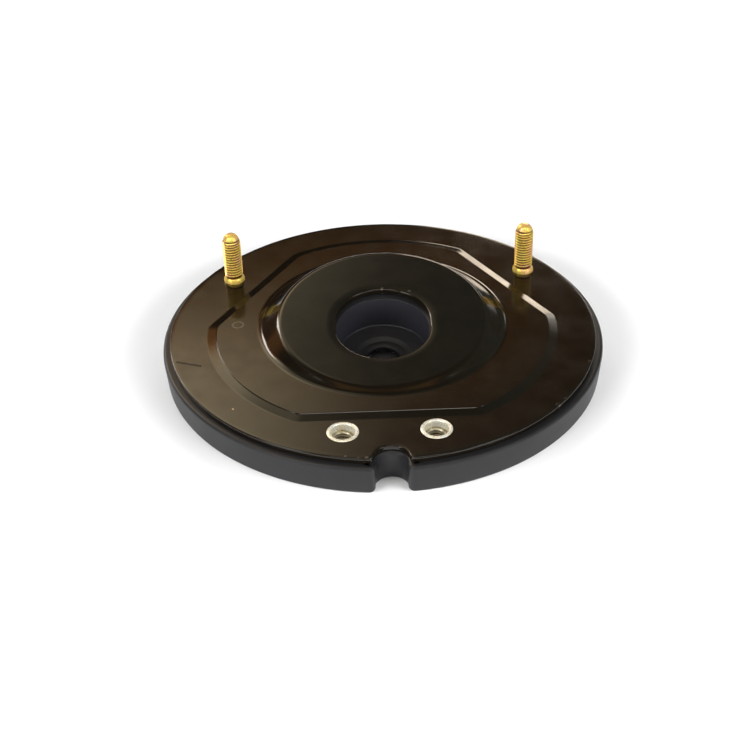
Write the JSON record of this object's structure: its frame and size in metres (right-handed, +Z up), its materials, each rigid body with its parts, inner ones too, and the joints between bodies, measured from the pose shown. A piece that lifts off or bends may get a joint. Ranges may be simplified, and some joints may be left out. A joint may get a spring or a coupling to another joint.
{
  "type": "strut mount",
  "caption": "Round strut mount: pressed steel plate with studs and clinch nuts on a rubber isolator, raked rod cup and a thrust ball bearing below.",
  "frame": {"origin": "centre of the isolator's lower face, on the surface that the mount rests on", "axes": "+Z up through the plate, towards the body of the car; -Y towards the notch; the strut axis leans 7.6 degrees towards -Y"},
  "size_m": [0.1848, 0.1845, 0.038],
  "materials": {
    "black_plate": "gloss",
    "isolator_rubber": "matte",
    "cup_steel": "satin",
    "bearing_steel": "polished",
    "cage_nylon": "matte",
    "seal_rubber": "matte",
    "yellow_zinc": "satin",
    "clear_zinc": "satin"
  },
  "bodies": {
    "mount": {"upper_plate": "black_plate", "rubber_isolator": "isolator_rubber", "rod_cup": "cup_steel", "bearing_seat": "black_plate", "upper_race": "bearing_steel", "inner_seal": "seal_rubber", "left_stud": "yellow_zinc", "right_stud": "yellow_zinc", "left_clinch_nut": "clear_zinc", "right_clinch_nut": "clear_zinc"},
    "lower_ring": {"lower_race": "bearing_steel", "outer_seal": "seal_rubber"},
    "ball_set": {"ball_cage": "cage_nylon", "ball_1": "bearing_steel", "ball_2": "bearing_steel", "ball_3": "bearing_steel", "ball_4": "bearing_steel", "ball_5": "bearing_steel", "ball_6": "bearing_steel", "ball_7": "bearing_steel", "ball_8": "bearing_steel", "ball_9": "bearing_steel", "ball_10": "bearing_steel", "ball_11": "bearing_steel", "ball_12": "bearing_steel", "ball_13": "bearing_steel", "ball_14": "bearing_steel", "ball_15": "bearing_steel", "ball_16": "bearing_steel", "ball_17": "bearing_steel", "ball_18": "bearing_steel", "ball_19": "bearing_steel", "ball_20": "bearing_steel"}
  },
  "joints": [
    {"name": "bearing_turn", "type": "hinge", "parent": "mount", "child": "lower_ring", "pos_m": [0, -0.0087, 0.0228], "axis": [0, -0.1323, 0.9912], "continuous": true},
    {"name": "ball_set_turn", "type": "hinge", "parent": "mount", "child": "ball_set", "pos_m": [0, -0.0087, 0.0228], "axis": [0, -0.1323, 0.9912], "continuous": true}
  ],
  "couplings": [
    {"joint": "ball_set_turn", "follows": "bearing_turn", "ratio": 0.5}
  ]
}
